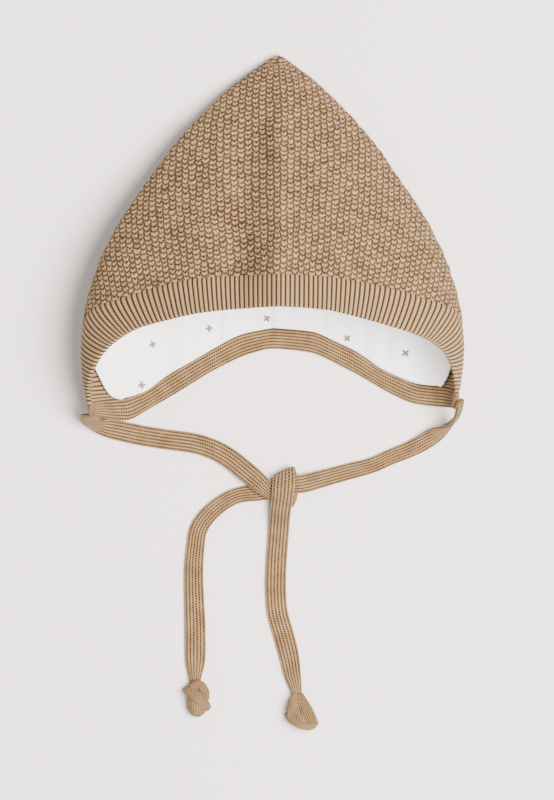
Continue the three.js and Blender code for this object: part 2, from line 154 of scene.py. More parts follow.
def bonnet_point(around, reach, inset=0.0):
    """Point of the bonnet's form: 0 degrees is the ridge, 90 the side line
    and 180 the middle of the back. inset goes inwards from the outer face."""
    around, reach, inset = np.broadcast_arrays(
        np.asarray(around, float), np.asarray(reach, float), np.asarray(inset, float))
    reach = np.maximum(reach, 0)
    turned = np.where(around > 180, around - 360, around)
    hand = np.where(turned < 0, -1.0, 1.0)
    angle = np.radians(np.abs(turned))
    back = np.maximum(reach - 1.3 * inset, 0)
    distance = blunt(back)
    half = curve_through(PROFILE_DISTANCE, PROFILE_HALF, distance)
    spread = np.maximum(
        curve_through(PROFILE_DISTANCE, PROFILE_HALF, distance + 1) - half, 0)
    settle = 1 - np.exp(-distance / 6)
    half = np.maximum(half - inset * (np.sqrt(1 + spread ** 2) - 1.3 * spread) * settle, 0)
    bottom = TIP * np.exp(-distance / 5) + inset * settle
    top = TIP * (1 + settle) + RIDGE_SLOPE * back - 0.36 * inset * settle
    side = curve_through(PROFILE_DISTANCE, PROFILE_SIDE, blunt(reach))
    side = np.clip(side, bottom, bottom + 0.6 * (top - bottom))
    s, c = np.sin(angle), np.cos(angle)
    roof_x = half * s
    roof_z = side + (top - side) * (c - ROOF_HOLLOW * s * c)
    flat = FLAT_SHARE * half
    bend_x, bend_z = half - flat, side - bottom
    bend = np.maximum(math.pi / 2 * np.sqrt((bend_x ** 2 + bend_z ** 2) / 2), 1e-6)
    along = (math.pi - angle) / (math.pi / 2) * (flat + bend)
    turn = np.maximum(along - flat, 0) / bend * (math.pi / 2)
    floor_x = np.where(along < flat, along, flat + bend_x * np.sin(turn))
    floor_z = bottom + bend_z * (1 - np.cos(turn))
    roof = angle <= math.pi / 2
    x = hand * np.where(roof, roof_x, floor_x)
    upper = np.where(roof, np.maximum(c, 0) ** 3, 0)
    x = x + 3.5 * (1 - np.exp(-reach / 30)) * upper + 3.0 * np.exp(-reach / 60)
    z = np.where(roof, roof_z, floor_z)
    return np.stack([x, PEAK_Y - reach, z], axis=-1)


def crown_reach(around):
    """Distance back of the crown's edge at each angle."""
    turned = np.where(np.asarray(around) > 180, np.asarray(around) - 360, around)
    return curve_through(EDGE_AROUND, EDGE_REACH, turned)


# ---------------------------------------------------------------- meshes


# Points nearer than this are welded, in metres.
WELD = 1e-6


def mesh_from_grid(name, places, uv, material, close_across=False):
    """Grid of quads with one vertex at each of the places, columns by rows.
    close_across welds the first column to the last."""
    columns, rows = places.shape[0] - 1, places.shape[1] - 1
    sheet = bmesh.new()
    bmesh.ops.create_grid(sheet, x_segments=columns, y_segments=rows, size=1.0)
    mesh = bpy.data.meshes.new(name)
    sheet.to_mesh(mesh)
    sheet.free()
    flat = np.empty(len(mesh.vertices) * 3)
    mesh.vertices.foreach_get("co", flat)
    flat = flat.reshape(-1, 3)
    i = np.rint((flat[:, 0] + 1) / 2 * columns).astype(int)
    j = np.rint((flat[:, 1] + 1) / 2 * rows).astype(int)
    mesh.vertices.foreach_set("co", (places[i, j] * MM).ravel())
    layer = mesh.uv_layers.new(name="cloth")
    corner = np.empty(len(mesh.loops), int)
    mesh.loops.foreach_get("vertex_index", corner)
    layer.data.foreach_set("uv", uv[i, j][corner].ravel())
    if close_across:
        welded = bmesh.new()
        welded.from_mesh(mesh)
        bmesh.ops.remove_doubles(welded, verts=welded.verts, dist=WELD)
        welded.to_mesh(mesh)
        welded.free()
    mesh.polygons.foreach_set("use_smooth", np.ones(len(mesh.polygons), bool))
    mesh.update()
    obj = bpy.data.objects.new(name, mesh)
    bpy.context.collection.objects.link(obj)
    mesh.materials.append(material)
    return obj


def joined(name, parts, bridge=False, caps=False):
    """One object from several, welded where they meet. bridge closes the
    gap between two open edges, and caps closes any edge still open."""
    whole = bmesh.new()
    for part in parts:
        whole.from_mesh(part.data)
    bmesh.ops.remove_doubles(whole, verts=whole.verts, dist=WELD)
    if bridge:
        open_edges = [e for e in whole.edges if e.is_boundary]
        bmesh.ops.bridge_loops(whole, edges=open_edges)
    if caps:
        open_edges = [e for e in whole.edges if e.is_boundary]
        bmesh.ops.holes_fill(whole, edges=open_edges, sides=0)
    bmesh.ops.recalc_face_normals(whole, faces=whole.faces)
    mesh = parts[0].data
    whole.to_mesh(mesh)
    whole.free()
    mesh.update()
    for part in parts[1:]:
        bpy.data.objects.remove(part)
    parts[0].name = name
    mesh.name = name
    return parts[0]


def normals_of(places):
    """Outward normals of a grid that runs left to right and then backwards."""
    across = np.gradient(places, axis=0)
    along = np.gradient(places, axis=1)
    normal = np.cross(along, across)
    length = np.linalg.norm(normal, axis=-1, keepdims=True)
    return normal / np.maximum(length, 1e-9)


# ---------------------------------------------------------------- knit layout

# Moss stitch: width of one column of lumps, length of one lump, and how
# many of each lie in one half of the crown.
WALE = 2.83
GRAIN = 2.72
CROWN_WALES = 52
CROWN_GRAINS = 46
CLOTH_WIDE = WALE * CROWN_WALES
CLOTH_DEEP = GRAIN * CROWN_GRAINS


def edge_by_length(start, stop, hand, count=400):
    """Angle along the crown's edge by its share of the length."""
    around = np.linspace(start, stop, count) * hand
    line = bonnet_point(around, crown_reach(around))
    steps = np.linalg.norm(np.diff(line, axis=0), axis=1)
    length = np.concatenate([[0], np.cumsum(steps)])
    return length / length[-1], around, length[-1]


# Share of each step that is taken, the largest slide, and how many turns.
EASE = 0.14
LARGEST_SLIDE = 1.5
EASE_TURNS = 260


def eased_half(hand):
    """The knit of one half of the crown laid over its form, with a point each
    2 wales and 2 grains, eased towards even stitches. Places are flat: the
    distance from the peak, turned by the angle round the section."""
    wide = np.arange(0, CROWN_WALES + 1, 2) * WALE
    deep = np.arange(0, CROWN_GRAINS + 1, 2) * GRAIN
    a, b = np.meshgrid(wide, deep, indexing="ij")
    front_share, front_around, _ = edge_by_length(0, CORNER[hand], hand)
    neck_share, neck_around, _ = edge_by_length(180, CORNER[hand], hand)
    safe_a, safe_b = np.maximum(a, 1e-9), np.maximum(b, 1e-9)
    to_front = a / CLOTH_WIDE <= b / CLOTH_DEEP
    front = np.interp(np.clip(a / safe_b * CLOTH_DEEP / CLOTH_WIDE, 0, 1), front_share,
                      front_around)
    neck = np.interp(np.clip(b / safe_a * CLOTH_WIDE / CLOTH_DEEP, 0, 1), neck_share,
                     neck_around)
    around = np.where(to_front, front, neck)
    share = np.maximum(a / CLOTH_WIDE, b / CLOTH_DEEP)
    reach = share * crown_reach(around)
    free_around = np.ones_like(a)
    free_around[0, :] = free_around[-1, :] = free_around[:, 0] = free_around[:, -1] = 0
    free_reach = np.ones_like(a)
    free_reach[-1, :] = free_reach[:, -1] = 0
    near_peak = (a < 3 * WALE) & (b < 3 * GRAIN)
    free_around[near_peak] = 0
    free_reach[near_peak] = 0
    slanting = math.hypot(2 * WALE, 2 * GRAIN)
    spans = [(1, 0, 2 * WALE), (0, 1, 2 * GRAIN), (1, 1, slanting), (1, -1, slanting)]
    for _ in range(EASE_TURNS):
        place = bonnet_point(around, reach)
        pull = np.zeros_like(place)
        for di, dj, rest in spans:
            n, m = a.shape
            one = (slice(0, n - di), slice(max(0, -dj), m - max(0, dj)))
            two = (slice(di, n), slice(max(0, dj), m + min(0, dj)))
            gap = place[two] - place[one]
            length = np.linalg.norm(gap, axis=-1, keepdims=True)
            force = gap * (1 - rest / np.maximum(length, 1e-6)) * (0.5 if di and dj else 1.0)
            pull[one] += force
            pull[two] -= force
        turn = bonnet_point(around + 0.5 * hand, reach) - bonnet_point(around - 0.5 * hand, reach)
        turn *= hand
        move = bonnet_point(around, reach + 0.5) - bonnet_point(around, reach - 0.5)
        turn_square = (turn * turn).sum(-1) + 0.02
        move_square = (move * move).sum(-1) + 0.02
        mixed = (turn * move).sum(-1)
        turn_pull, move_pull = (turn * pull).sum(-1), (move * pull).sum(-1)
        free = np.maximum(turn_square * move_square - mixed * mixed, 1e-3)
        step_turn = (turn_pull * move_square - move_pull * mixed) / free
        step_move = (move_pull * turn_square - turn_pull * mixed) / free
        slide_turn = np.where(free_reach > 0, step_turn, 0) * free_around
        slide_move = np.where(free_around > 0, step_move, move_pull / move_square) * free_reach
        around = around + np.clip(EASE * slide_turn, -LARGEST_SLIDE, LARGEST_SLIDE)
        reach = reach + np.clip(EASE * slide_move, -LARGEST_SLIDE, LARGEST_SLIDE)
        reach = np.maximum(reach, 0)
    turn = np.radians(around * hand)
    return np.stack([reach * np.sin(turn), reach * np.cos(turn)], axis=-1)


def refined(places, factor, axis):
    """Rows added between rows on a smooth curve, along one axis."""
    p = np.moveaxis(places, axis, 0)
    first = 2 * p[0] - p[1]
    last = 2 * p[-1] - p[-2]
    p = np.concatenate([first[None], p, last[None]])
    out = []
    for k in range(factor):
        t = k / factor
        p0, p1, p2, p3 = p[:-3], p[1:-2], p[2:-1], p[3:]
        out.append(0.5 * (2 * p1 + (p2 - p0) * t + (2 * p0 - 5 * p1 + 4 * p2 - p3) * t * t
                          + (3 * p1 - p0 - 3 * p2 + p3) * t ** 3))
    fine = np.stack(out, axis=1).reshape((-1,) + p.shape[1:])
    fine = np.concatenate([fine, p[-2][None]])
    return np.moveaxis(fine, 0, axis)


def crown_cloth(fine_wale, fine_grain):
    """Places of the crown's cloth over both halves, and the way outwards."""
    halves = []
    for hand in (-1, 1):
        flat = refined(refined(eased_half(hand), 2 * fine_wale, 0), 2 * fine_grain, 1)
        around = np.degrees(np.arctan2(np.maximum(flat[..., 0], 0), flat[..., 1])) * hand
        reach = np.hypot(flat[..., 0], flat[..., 1])
        place = bonnet_point(around, reach)
        outward = bonnet_point(around, np.maximum(reach, 6), -1.5)
        outward = outward - bonnet_point(around, np.maximum(reach, 6), 1.5)
        halves.append(np.concatenate([place, outward / 3], axis=-1))
    left, right = halves
    both = np.concatenate([left[::-1], right[1:]])
    return both[..., :3], both[..., 3:]


def wander(a, b, spacing, seed):
    """Smooth random number from -1 to 1 that changes over a spacing."""
    chance = np.random.default_rng(seed).uniform(-1, 1, (97, 97))
    x, y = a / spacing + 48.0, b / spacing + 3.0
    i, j = np.floor(x).astype(int), np.floor(y).astype(int)
    u, v = x - i, y - j
    u, v = u * u * (3 - 2 * u), v * v * (3 - 2 * v)
    i, j = i % 96, j % 96
    low = chance[i, j] * (1 - u) + chance[i + 1, j] * u
    high = chance[i, j + 1] * (1 - u) + chance[i + 1, j + 1] * u
    return low * (1 - v) + high * v


# ---------------------------------------------------------------- materials


def linear(hex_colour):
    parts = [int(hex_colour[k:k + 2], 16) / 255 for k in (1, 3, 5)]
    return tuple(p / 12.92 if p <= 0.04045 else ((p + 0.055) / 1.055) ** 2.4
                 for p in parts) + (1.0,)


MATH = "ShaderNodeMath"


def add_node(tree, kind, inputs=(), **settings):
    """A node with its settings, and its inputs set, or linked from a socket
    or from another node's first output."""
    made = tree.nodes.new(kind)
    for key, value in settings.items():
        setattr(made, key, value)
    named = inputs.items() if isinstance(inputs, dict) else enumerate(inputs)
    for key, value in named:
        if isinstance(value, bpy.types.Node):
            value = value.outputs[0]
        if isinstance(value, bpy.types.NodeSocket):
            tree.links.new(value, made.inputs[key])
        else:
            made.inputs[key].default_value = value
    return made


def blank_material(name):
    material = bpy.data.materials.new(name)
    material.use_nodes = True
    material.node_tree.nodes.clear()
    return material


def cotton_finish(tree, colour, normal, sheen, sheen_tint):
    """Cotton's surface: very matt, with a faint light from its loose fibres."""
    shader = add_node(tree, "ShaderNodeBsdfPrincipled", {
        "Base Color": colour, "Roughness": 0.92, "Specular IOR Level": 0.2,
        "Sheen Weight": sheen, "Sheen Roughness": 0.5, "Sheen Tint": linear(sheen_tint),
        "Normal": normal})
    add_node(tree, "ShaderNodeOutputMaterial", [shader])


# Brown cotton yarn with painted light and shade: from a painted highlight on
# its lit strands, through its own brown, to painted shade in the hollows.
YARN_LIT_HIGHLIGHT = "#a58a67"
YARN = "#7d6444"
YARN_SHADE = "#4e351d"
YARN_DEEP_SHADE = "#1d120a"


def yarn_with_painted_shade(tree, tone_and_shading, depths, height, strength, distance):
    """The yarn's colours with painted light and shade: its own brown, a painted
    highlight on lit strands and painted shade by how deep a place lies between
    the stitches; its stitches as relief, and its soft cotton surface."""
    colour = add_node(tree, "ShaderNodeValToRGB", [tone_and_shading])
    steps = colour.color_ramp.elements
    steps.remove(steps[0])
    for depth, yarn in zip(depths, (YARN_LIT_HIGHLIGHT, YARN, YARN_SHADE, YARN_DEEP_SHADE)):
        steps.new(depth).color = linear(yarn)
    steps.remove(steps[-1])
    bump = add_node(tree, "ShaderNodeBump", {"Height": height, "Strength": strength,
                                             "Distance": distance})
    cotton_finish(tree, colour, bump, 0.12, "#e6d2b4")


# A lump's half width in wales and half length in grains, and how far its
# sides lie along the cloth from its middle, in grains for each wale.
LUMP_WIDE = 0.80
LUMP_TALL = 0.47
LUMP_ARCH = -0.22


def moss_knit():
    """Cotton moss stitch, knitted by machine from a thick soft yarn: matt
    lumps in a brick order, each of two slanting strands, that push against
    each other, with painted shade in the short hollow under each lump and a
    painted highlight on the strands."""
    material = blank_material("cotton moss stitch")
    tree = material.node_tree
    uv = add_node(tree, "ShaderNodeUVMap", uv_map="cloth")
    split = add_node(tree, "ShaderNodeSeparateXYZ", [uv])
    wale = add_node(tree, MATH, [split.outputs[0], WALE], operation="DIVIDE")
    column = add_node(tree, MATH, [wale], operation="FLOOR")
    course = add_node(tree, MATH, [split.outputs[1], GRAIN], operation="DIVIDE")
    shifted = add_node(tree, MATH, [column, 0.5, course], operation="MULTIPLY_ADD")
    side = add_node(tree, MATH, [wale, 0.5], operation="PINGPONG")
    across = add_node(tree, MATH, [0.5, side], operation="SUBTRACT")
    arched = add_node(tree, MATH, [across, -LUMP_ARCH, shifted], operation="MULTIPLY_ADD")
    end = add_node(tree, MATH, [arched, 0.5], operation="PINGPONG")
    along = add_node(tree, MATH, [0.5, end], operation="SUBTRACT")
    hollow = None
    for centre_x, centre_y in ((across, along), (
            add_node(tree, MATH, [1.0, across], operation="SUBTRACT"),
            add_node(tree, MATH, [0.5, along], operation="SUBTRACT"))):
        x = add_node(tree, MATH, [centre_x, LUMP_WIDE], operation="DIVIDE")
        y = add_node(tree, MATH, [centre_y, LUMP_TALL], operation="DIVIDE")
        square = add_node(tree, MATH, [x, x], operation="MULTIPLY")
        distance = add_node(tree, MATH, [y, y, square], operation="MULTIPLY_ADD")
        hollow = distance if hollow is None else add_node(
            tree, MATH, [hollow, distance], operation="MINIMUM")
    part = add_node(tree, MATH, [arched], operation="FRACT")
    leaning = add_node(tree, MATH, [part, -0.24, 0.34], operation="MULTIPLY_ADD")
    beside = add_node(tree, MATH, [across, leaning], operation="SUBTRACT")
    leg = add_node(tree, MATH, [beside], operation="ABSOLUTE")
    strand = add_node(tree, MATH, [leg, -7.0, 1.0], operation="MULTIPLY_ADD")
    cell = add_node(tree, "ShaderNodeCombineXYZ",
                    [column, add_node(tree, MATH, [shifted], operation="FLOOR")])
    chance = add_node(tree, "ShaderNodeTexWhiteNoise", {"Vector": cell})
    fibre = add_node(tree, "ShaderNodeTexNoise", {"Vector": uv, "Scale": 1.9, "Detail": 3.0})
    # Painted shade grows away from each lump's middle into the hollows, and a painted highlight
    # lightens the strands; chance and fibre are the yarn's own uneven tone.
    tone_and_shading = add_node(tree, MATH, [strand, -0.36, hollow], operation="MULTIPLY_ADD")
    tone_and_shading = add_node(tree, MATH, [chance, 0.30, tone_and_shading], operation="MULTIPLY_ADD")
    tone_and_shading = add_node(tree, MATH, [fibre, 1.7, tone_and_shading], operation="MULTIPLY_ADD")
    tone_and_shading = add_node(tree, MATH, [tone_and_shading, 0.30], operation="MULTIPLY")
    height = add_node(tree, MATH, [strand, 0.4, 1.3], operation="MULTIPLY_ADD")
    height = add_node(tree, MATH, [height, hollow], operation="SUBTRACT")
    height = add_node(tree, MATH, [fibre, 0.35, height], operation="MULTIPLY_ADD")
    yarn_with_painted_shade(tree, tone_and_shading, (0.22, 0.37, 0.49, 0.64), height, 0.8, 0.0006)
    return material


# Width of one rib, and length of one of its stitches.
RIB = 2.3
RIB_STITCH = 1.25


def rib_knit():
    """Cotton one-by-one rib: each rib a column of V stitches with a row of
    small pits down its middle, and a deep groove on both its sides, with
    painted shade in the pits and grooves."""
    material = blank_material("cotton rib knit")
    tree = material.node_tree
    uv = add_node(tree, "ShaderNodeUVMap", uv_map="cloth")
    split = add_node(tree, "ShaderNodeSeparateXYZ", [uv])
    rib = add_node(tree, MATH, [split.outputs[0], RIB], operation="DIVIDE")
    groove = add_node(tree, MATH, [rib, 0.5], operation="PINGPONG")
    middle = add_node(tree, MATH, [0.5, groove], operation="SUBTRACT")
    course = add_node(tree, MATH, [split.outputs[1], RIB_STITCH], operation="DIVIDE")
    slant = add_node(tree, MATH, [middle, -1.1, course], operation="MULTIPLY_ADD")
    step = add_node(tree, MATH, [slant, 0.5], operation="PINGPONG")
    deep = add_node(tree, MATH, [groove, -3.4, 1.0], operation="MULTIPLY_ADD", use_clamp=True)
    near = add_node(tree, MATH, [middle, -6.0, 1.0], operation="MULTIPLY_ADD", use_clamp=True)
    gap = add_node(tree, MATH, [step, -4.0, 1.0], operation="MULTIPLY_ADD", use_clamp=True)
    pit = add_node(tree, MATH, [near, gap], operation="MULTIPLY")
    fibre = add_node(tree, "ShaderNodeTexNoise", {"Vector": uv, "Scale": 2.2, "Detail": 3.0})
    # Painted shade in the grooves between ribs, in the pits down each rib and faintly between its
    # stitches; fibre is the yarn's own uneven tone.
    tone_and_shading = add_node(tree, MATH, [pit, 0.75, deep], operation="MULTIPLY_ADD")
    tone_and_shading = add_node(tree, MATH, [gap, 0.16, tone_and_shading], operation="MULTIPLY_ADD")
    tone_and_shading = add_node(tree, MATH, [fibre, 0.5, tone_and_shading], operation="MULTIPLY_ADD")
    tone_and_shading = add_node(tree, MATH, [tone_and_shading, 0.6], operation="MULTIPLY")
    height = add_node(tree, MATH, [1.5, tone_and_shading], operation="SUBTRACT")
    yarn_with_painted_shade(tree, tone_and_shading, (0.13, 0.31, 0.47, 0.70), height, 0.8, 0.0005)
    return material


# Width and length of one stitch of the strings and the neck band.
STITCH_WIDE = 1.45
STITCH_LONG = 1.2


def tube_knit():
    """Fine cotton stockinette, knitted as a narrow tube: close rows of V
    stitches in a brick order, with painted shade in a small pit at each stitch."""
    material = blank_material("cotton tube knit")
    tree = material.node_tree
    uv = add_node(tree, "ShaderNodeUVMap", uv_map="cloth")
    split = add_node(tree, "ShaderNodeSeparateXYZ", [uv])
    wale = add_node(tree, MATH, [split.outputs[0], STITCH_WIDE], operation="DIVIDE")
    nearest = add_node(tree, MATH, [wale], operation="ROUND")
    across = add_node(tree, MATH, [wale, 0.5], operation="PINGPONG")
    course = add_node(tree, MATH, [split.outputs[1], STITCH_LONG], operation="DIVIDE")
    shifted = add_node(tree, MATH, [nearest, 0.5, course], operation="MULTIPLY_ADD")
    along = add_node(tree, MATH, [shifted, 0.5], operation="PINGPONG")
    near = add_node(tree, MATH, [across, -2.8, 1.0], operation="MULTIPLY_ADD", use_clamp=True)
    gap = add_node(tree, MATH, [along, -2.3, 1.0], operation="MULTIPLY_ADD", use_clamp=True)
    pit = add_node(tree, MATH, [near, gap], operation="MULTIPLY")
    patch = add_node(tree, "ShaderNodeTexNoise", {"Vector": uv, "Scale": 0.12, "Detail": 2.0})
    fibre = add_node(tree, "ShaderNodeTexNoise", {"Vector": uv, "Scale": 2.2, "Detail": 3.0})
    # Painted shade in the pits and faintly between the columns of stitches; patch and fibre are
    # the yarn's own uneven tone.
    faint = add_node(tree, MATH, [near, 0.16], operation="MULTIPLY")
    tone_and_shading = add_node(tree, MATH, [pit, 1.6, faint], operation="MULTIPLY_ADD")
    tone_and_shading = add_node(tree, MATH, [patch, 0.5, tone_and_shading], operation="MULTIPLY_ADD")
    tone_and_shading = add_node(tree, MATH, [fibre, 0.7, tone_and_shading], operation="MULTIPLY_ADD")
    tone_and_shading = add_node(tree, MATH, [tone_and_shading, 0.5], operation="MULTIPLY")
    height = add_node(tree, MATH, [2.0, tone_and_shading], operation="SUBTRACT")
    yarn_with_painted_shade(tree, tone_and_shading, (0.17, 0.33, 0.52, 0.78), height, 0.7, 0.00035)
    return material


# Half length and half width of a printed cross's arms.
CROSS_ARM = 1.75
CROSS_HALF = 0.6


def printed_cotton():
    """Fine woven cotton, washed soft: white, with a small grey cross printed
    here and there."""
    material = blank_material("printed cotton lining")
    tree = material.node_tree
    uv = add_node(tree, "ShaderNodeUVMap", uv_map="print")
    split = add_node(tree, "ShaderNodeSeparateXYZ", [uv])
    x = add_node(tree, MATH, [split.outputs[0]], operation="ABSOLUTE")
    y = add_node(tree, MATH, [split.outputs[1]], operation="ABSOLUTE")
    longer = add_node(tree, MATH, [x, y], operation="MAXIMUM")
    shorter = add_node(tree, MATH, [x, y], operation="MINIMUM")
    within = add_node(tree, MATH, [longer, CROSS_ARM], operation="LESS_THAN")
    thin = add_node(tree, MATH, [shorter, CROSS_HALF], operation="LESS_THAN")
    mark = add_node(tree, MATH, [within, thin], operation="MULTIPLY")
    mix = add_node(tree, "ShaderNodeMix", {0: mark, 6: linear("#faf8fa"), 7: linear("#6f6b66")},
                   data_type="RGBA")
    coords = add_node(tree, "ShaderNodeTexCoord")
    weave = add_node(tree, "ShaderNodeTexNoise", {
        "Vector": coords.outputs["Object"], "Scale": 1500.0, "Detail": 2.0})
    bump = add_node(tree, "ShaderNodeBump", {"Height": weave, "Strength": 0.15,
                                             "Distance": 0.0002})
    cotton_finish(tree, mix.outputs[2], bump, 0.05, "#ffffff")
    return material


# ---------------------------------------------------------------- crown


def lump_relief(a, b):
    """Height of the moss stitch's lumps, from 0 in the hollows to 1."""
    wale = a / WALE
    column = np.floor(wale)
    across = np.abs(wale - column - 0.5)
    shifted = b / GRAIN + 0.5 * column - LUMP_ARCH * across
    along = np.abs(shifted - np.floor(shifted) - 0.5)
    own = (across / LUMP_WIDE) ** 2 + (along / LUMP_TALL) ** 2
    beside = ((1 - across) / LUMP_WIDE) ** 2 + ((0.5 - along) / LUMP_TALL) ** 2
    return np.sqrt(np.clip(1.1 - np.minimum(own, beside), 0, 1))


def dressed(places, lift=0.0):
    """The same places with the soft dents and folds of cloth that lies. lift
    is how far the piece lies under the crown's outer face."""
    x, y = places[..., 0], places[..., 1]
    up = smooth(8, 24, places[..., 2] + lift)
    valley_x = -8 - 8 * smooth(60, -20, y)
    valley = np.exp(-((x - valley_x) / 9.5) ** 2) * smooth(80, 30, y) * smooth(-56, -22, y)
    dent = np.exp(-((x + 14) / 9) ** 2 - ((y + 11) / 12) ** 2)
    small = np.exp(-((x + 59) / 7) ** 2 - ((y + 23) / 6) ** 2)
    wave = 0.5 * np.sin(x * 0.11 + y * 0.05) + 0.35 * np.sin(x * 0.05 - y * 0.13 + 1.0)
    ridge = np.exp(-((x - 3.5) / 5) ** 2) * smooth(82, 50, y)
    drop = (5.4 * valley + 4.6 * dent + 3 * small - 2.0 * ridge + 0.5 * wave) * up
    made = places.copy()
    made[..., 2] -= drop
    return made


# How far a lump stands up from the hollows, and how deep the hollows and the
# cloth's back face lie under the bonnet's form.
LUMP_RISE = 0.8
HOLLOW_DEPTH = 0.65
BACK_DEPTH = 2.2


def make_crown(material):
    """Moss-stitch cloth with its lumps, and a coarser back face."""
    per_wale, per_grain = 4, 4
    places, outward = crown_cloth(per_wale, per_grain)
    places = dressed(places)
    columns, rows = places.shape[:2]
    a = (np.arange(columns) - (columns - 1) / 2) * WALE / per_wale
    b = np.arange(rows) * GRAIN / per_grain
    a, b = np.meshgrid(a, b, indexing="ij")
    body = smooth(14, 26, PEAK_Y - places[..., 1])[..., None]
    normal = normals_of(places) * body + outward * (1 - body)
    a = a + 0.55 * wander(a, b, 2.6, 11)
    b = b + 0.5 * wander(a, b, 2.3, 12)
    lively = 1 + 0.35 * wander(a, b, 3.3, 13)
    lumps = lump_relief(a, b) * lively * smooth(4, 16, PEAK_Y - places[..., 1])
    outer = places + normal * (LUMP_RISE * lumps - HOLLOW_DEPTH)[..., None]
    outer[..., 2] = np.maximum(outer[..., 2], TABLE_GAP)
    sew_to_itself(outer)
    uv = np.stack([a, b], axis=-1)
    face = mesh_from_grid("crown_face", outer, uv, material)
    step = 4
    inner = places[::step, ::step] - normal[::step, ::step] * BACK_DEPTH
    sew_to_itself(inner)
    back = mesh_from_grid("crown_back", inner, uv[::step, ::step], material)
    match_edge(back.data, step)
    return joined("crown_knit", [face, back], bridge=True)


def sew_to_itself(places):
    """The cloth's back edge is folded in half and sewn to itself."""
    middle = (len(places) - 1) // 2
    for k in range(middle + 1):
        shared = (places[middle - k, 0] + places[middle + k, 0]) / 2
        places[middle - k, 0] = places[middle + k, 0] = shared


def match_edge(mesh, cuts):
    """A coarse sheet's open edge gets as many points as the fine sheet's."""
    sheet = bmesh.new()
    sheet.from_mesh(mesh)
    bmesh.ops.remove_doubles(sheet, verts=sheet.verts, dist=WELD)
    open_edges = [e for e in sheet.edges if e.is_boundary]
    bmesh.ops.subdivide_edges(sheet, edges=open_edges, cuts=cuts - 1)
    sheet.to_mesh(mesh)
    sheet.free()


# ---------------------------------------------------------------- brim


def rib_profile(phase, depth):
    """Height of the ribs above their grooves, one rib for each whole phase."""
    f = phase - np.floor(phase)
    return depth * (1 - np.abs(2 * f - 1) ** 3)


# How far a rib's front end lies back towards the middle from its crown end,
# in degrees, by the angle of the crown end.
LEAN_AT = [0, 50, 60, 72, 82, 91, 99, 106, 113]
LEAN_LEFT = [0, 0, 2, 8, 13, 17, 15, 8, 0]
LEAN_RIGHT = [0, 0, 2, 8, 13.5, 18, 14, 0, 0]


def brim_front(behind):
    """Angle and distance back of the front end of each rib."""
    lean = np.where(behind < 0, -curve_through(LEAN_AT, LEAN_LEFT, -behind),
                    curve_through(LEAN_AT, LEAN_RIGHT, behind))
    end = behind - lean
    around = curve_through(BRIM_BEHIND, BRIM_AROUND, end)
    return around, curve_through(BRIM_BEHIND, BRIM_REACH, end)


# Depths of the brim's outer and inner faces under the bonnet's form, and the
# share of its width that its rounded nose takes.
BRIM_OUTER = 0.15
BRIM_INNER = 2.7
NOSE_SHARE = 0.065


def make_brim(material):
    """Ribs that run from the crown's edge, round a soft nose and back."""
    per_rib = 6
    outer_rows, nose_rows, inner_rows = 26, 7, 16
    behind = np.linspace(-CORNER[-1], CORNER[1], 4001)
    back = crown_reach(behind)
    around, front = brim_front(behind)
    middle = bonnet_point((behind + around) / 2, (back + front) / 2)
    steps = np.linalg.norm(np.diff(middle, axis=0), axis=1)
    pitch = 2.2 + 0.5 * smooth(25, 75, np.abs(middle[:, 0]))
    ribs = np.concatenate([[0], np.cumsum(steps / (0.5 * (pitch[1:] + pitch[:-1])))])
    count = int(round(ribs[-1]))
    ribs *= count / ribs[-1]
    phase = np.arange(count * per_rib + 1) / per_rib
    behind = np.interp(phase, ribs, behind)
    back = crown_reach(behind)
    around, front = brim_front(behind)
    turn = np.linspace(0, math.pi, nose_rows + 2)[1:-1]
    nose = 1 - NOSE_SHARE + NOSE_SHARE * np.sin(turn)
    share = np.concatenate([np.linspace(-0.05, 1 - NOSE_SHARE, outer_rows), nose,
                            np.linspace(1 - NOSE_SHARE, 0.0, inner_rows), [-0.05]])
    depth = np.concatenate([
        np.full(outer_rows, BRIM_OUTER), BRIM_INNER / 2 - BRIM_INNER / 2 * np.cos(turn) + 0.1,
        np.full(inner_rows, BRIM_INNER), [BRIM_OUTER]])
    face = np.concatenate([np.zeros(outer_rows), np.linspace(0, 1, nose_rows),
                           np.ones(inner_rows), [0]])
    angle = behind[:, None] + (around - behind)[:, None] * share[None]
    reach = back[:, None] + (front - back)[:, None] * share[None]
    places = bonnet_point(angle, reach, depth[None])
    outward = bonnet_point(angle, reach, depth[None] * 0 - 0.5) - bonnet_point(angle, reach, 1.0)
    outward /= np.maximum(np.linalg.norm(outward, axis=-1, keepdims=True), 1e-6)
    out_rib = rib_profile(phase, 0.75)[:, None] - 0.6
    in_rib = rib_profile(phase + 0.5, 0.5)[:, None] - 0.4
    rooted = smooth(-0.05, 0.14, share)[None]
    out_rib = out_rib * rooted - 0.7 * (1 - rooted)
    relief = out_rib * (1 - face[None]) - in_rib * face[None]
    flare = 0.5 * np.sin(phase * 0.21)[:, None] * smooth(0.3, 1.0, share)[None]
    places = dressed(places + outward * (relief + flare)[..., None])
    places[..., 2] = np.maximum(places[..., 2], 2 * TABLE_GAP)
    length = np.concatenate([[0], np.cumsum(np.linalg.norm(
        np.diff(places[len(places) // 2], axis=0), axis=1))])
    uv = np.stack(np.broadcast_arrays(phase[:, None] * RIB, length[None]), axis=-1)
    places[:, -1] = places[:, 0]
    strip = mesh_from_grid("brim_rib", places, uv, material)
    return joined("brim_rib", [strip], caps=True)


# ---------------------------------------------------------------- lining

# Crosses that lie in the face opening: place on the back of the head, and turn.
SHOWN_CROSSES = [(-56.8, -52.4, 20), (-62.0, -71.8, 12), (-30.0, -44.8, 8), (-2.4, -40.1, 35),
                 (35.8, -49.5, 42), (63.5, -56.6, 38)]

